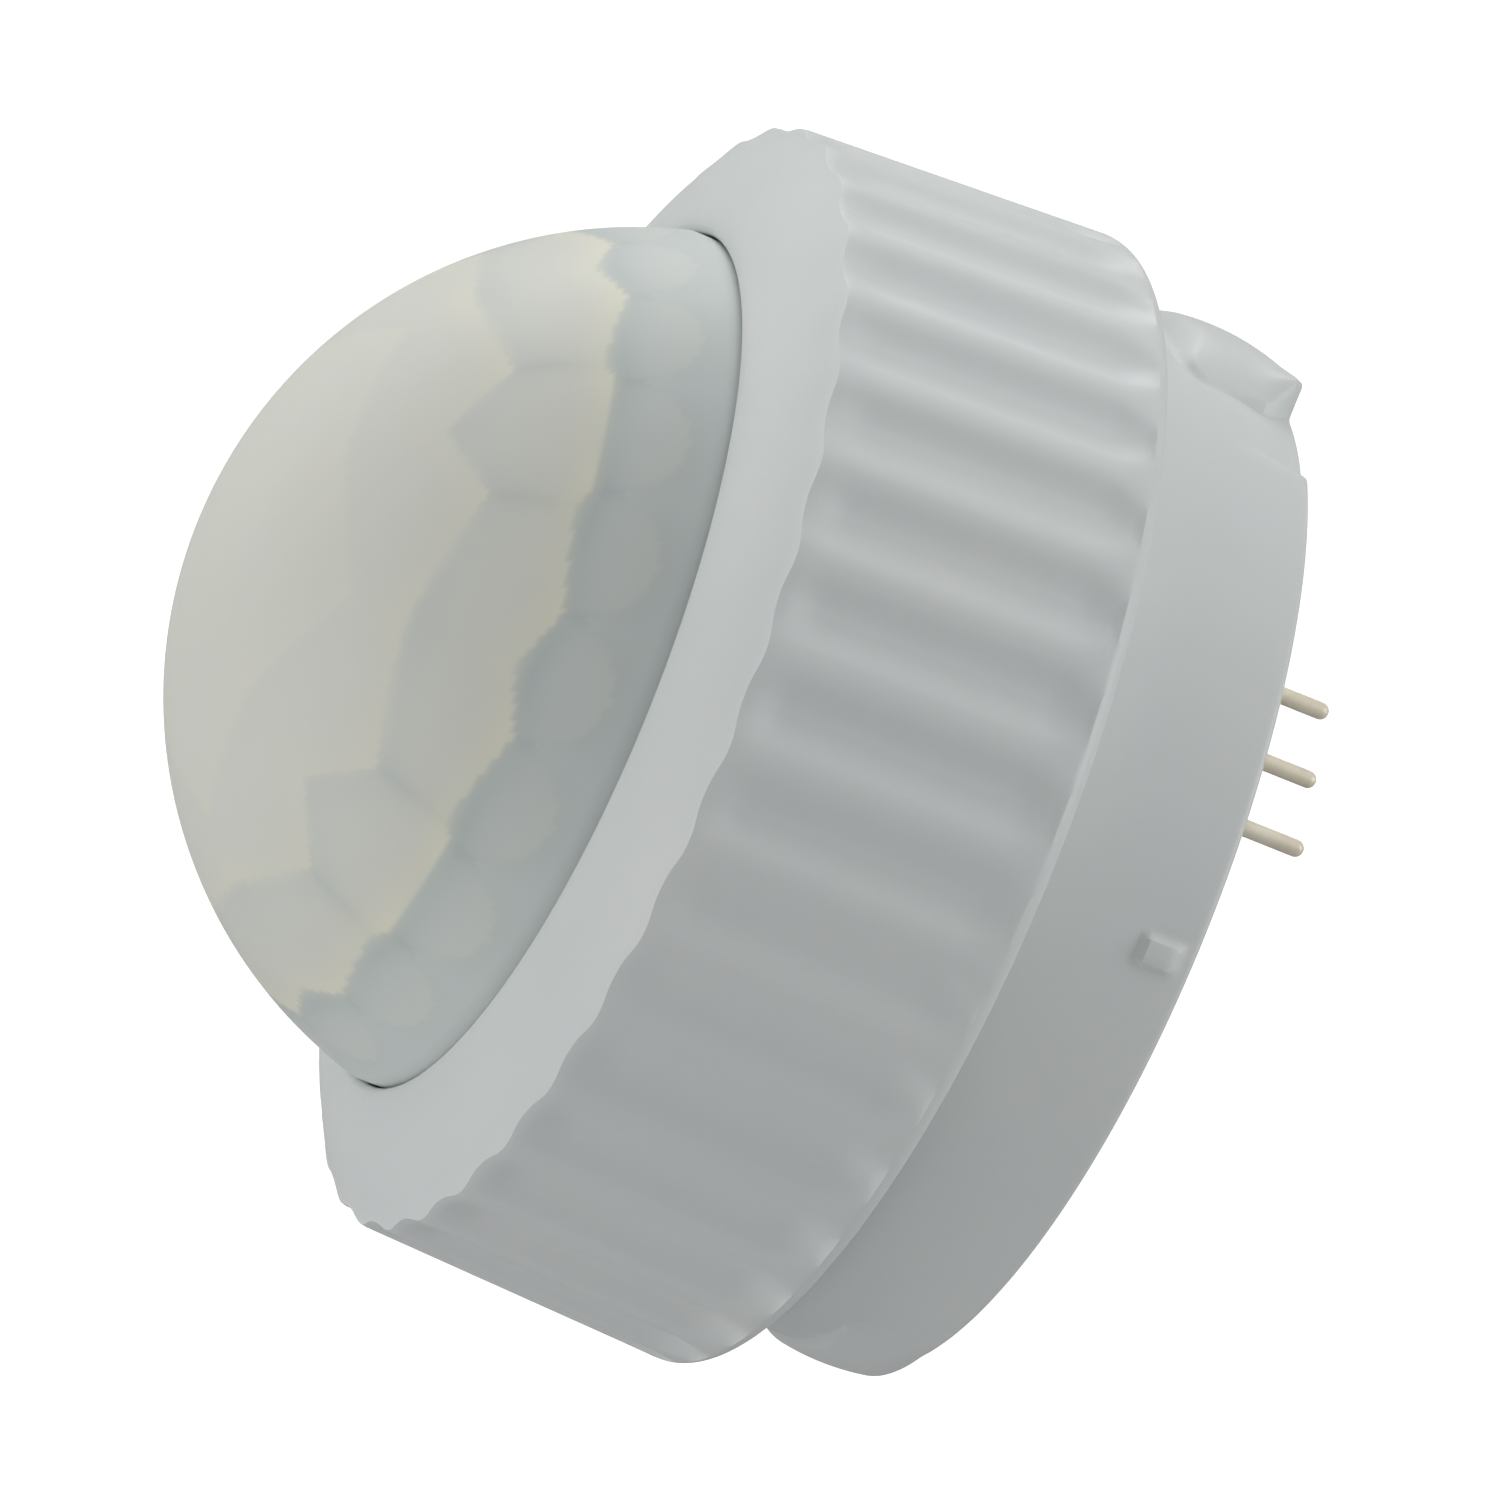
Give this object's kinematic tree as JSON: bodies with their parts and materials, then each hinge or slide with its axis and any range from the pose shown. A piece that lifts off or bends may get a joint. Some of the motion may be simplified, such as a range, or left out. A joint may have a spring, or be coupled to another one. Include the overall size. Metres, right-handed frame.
{
  "type": "motion sensor",
  "caption": "Round plug-in ceiling motion sensor: milky faceted lens dome in a fluted quarter-turn ring, on a white base with bayonet lugs and contact pins behind.",
  "frame": {"origin": "centre of the base's flat back face", "axes": "+Z along the round body's axis, out of the lens dome; -Y is the side with the small key; +X points to the larger bayonet lug; the contact pins stand out towards -Z"},
  "size_m": [0.0752, 0.0752, 0.0672],
  "materials": {
    "white_shell": "fine satin moulded plastic, cool white",
    "milky_lens": "milky translucent plastic, satin, moulded lens facets on the inside",
    "grey_rubber": "soft matt rubber",
    "pin_metal": "pale tin-plated brass, satin",
    "black_plastic": "moulded, satin",
    "board_green": "solder-masked laminate, semi-gloss",
    "steel": "plain plated steel",
    "sensor_glass": "dark polished filter",
    "copper_coil": "enamelled copper winding",
    "shroud_grey": "matt moulded plastic",
    "clear_resin": "tinted cast resin",
    "dial_white": "white nylon",
    "blue_sleeve": "shrink sleeve, glossy"
  },
  "bodies": {
    "base": {"back_plate": "white_shell", "back_screw_1": "steel", "back_screw_2": "steel", "back_screw_3": "steel", "base_shell": "white_shell", "board_link": "black_plastic", "board_screw_1": "steel", "board_screw_2": "steel", "board_screw_3": "steel", "board_spacer_1": "dial_white", "board_spacer_2": "dial_white", "board_spacer_3": "dial_white", "choke": "copper_coil", "contact_pin_1": "pin_metal", "contact_pin_2": "pin_metal", "contact_pin_3": "pin_metal", "control_chip": "black_plastic", "daylight_dial_body": "black_plastic", "filter_capacitor": "blue_sleeve", "heat_sensor_can": "steel", "heat_sensor_window": "sensor_glass", "hold_time_dial_body": "black_plastic", "inner_shroud": "shroud_grey", "light_cell": "sensor_glass", "pin_block": "black_plastic", "power_board": "board_green", "remote_receiver": "black_plastic", "sensitivity_dial_body": "black_plastic", "sensor_board": "board_green", "sensor_holder": "black_plastic", "status_led": "clear_resin", "voltage_regulator": "black_plastic"},
    "lens": {"lens_dome": "milky_lens", "lens_gasket": "grey_rubber"},
    "ring": {"fluted_ring": "white_shell"},
    "sensitivity_rotor": {"sensitivity_dial": "dial_white"},
    "hold_time_rotor": {"hold_time_dial": "dial_white"},
    "daylight_rotor": {"daylight_dial": "dial_white"}
  },
  "joints": [
    {"name": "ring_turn", "type": "hinge", "parent": "lens", "child": "ring", "pos_m": [0, 0, 0.0225], "axis": [0, 0, 1], "range_deg": [0, 90]},
    {"name": "lens_rise", "type": "slide", "parent": "base", "child": "lens", "axis": [0, 0, 1], "range_m": [0, 0.003]},
    {"name": "sensitivity_turn", "type": "hinge", "parent": "base", "child": "sensitivity_rotor", "pos_m": [0.003, 0.0145, 0.0235], "axis": [0, 0, 1], "range_deg": [-135, 135]},
    {"name": "hold_time_turn", "type": "hinge", "parent": "base", "child": "hold_time_rotor", "pos_m": [0.0125, 0.009, 0.0235], "axis": [0, 0, 1], "range_deg": [-135, 135]},
    {"name": "daylight_turn", "type": "hinge", "parent": "base", "child": "daylight_rotor", "pos_m": [0.0145, 0.0015, 0.0235], "axis": [0, 0, 1], "range_deg": [-135, 135]}
  ],
  "couplings": [
    {"joint": "lens_rise", "follows": "ring_turn", "m_per_rad": 0.0019098}
  ]
}
